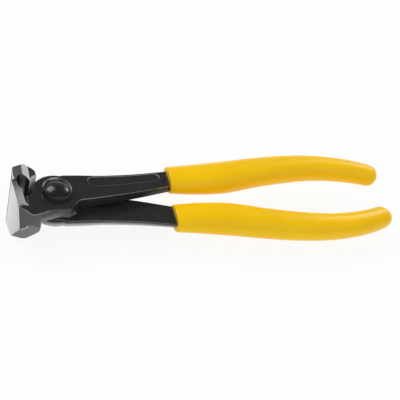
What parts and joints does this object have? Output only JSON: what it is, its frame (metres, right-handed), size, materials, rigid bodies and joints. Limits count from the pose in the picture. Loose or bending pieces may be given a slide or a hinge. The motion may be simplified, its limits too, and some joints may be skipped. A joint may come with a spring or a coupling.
{
  "type": "end cutting nippers",
  "caption": "End cutting nippers with crosswise cutting jaws, a riveted lap joint and long bowed handles in dipped plastic grips.",
  "frame": {"origin": "on the rivet's axis, in the plane where the two laps meet", "axes": "+X from the rivet towards the handles' ends, so the cutting edges are at -X; +Z along the rivet; +Y across the handles, towards the handle of the half that turns"},
  "size_m": [0.2016, 0.0524, 0.0284],
  "materials": {
    "forged_steel": "black oxide, satin, with the jaws ground bright",
    "rivet_steel": "black oxide, smooth domed heads",
    "dipped_plastic": "glossy yellow dip coating"
  },
  "bodies": {
    "lower": {"lower_half": "forged_steel", "lower_grip": "dipped_plastic", "rivet": "rivet_steel"},
    "upper": {"upper_half": "forged_steel", "upper_grip": "dipped_plastic"}
  },
  "joints": [
    {"name": "pivot", "type": "hinge", "parent": "lower", "child": "upper", "pos_m": [0, 0, 0], "axis": [0, 0, 1], "range_deg": [0, 30]}
  ]
}
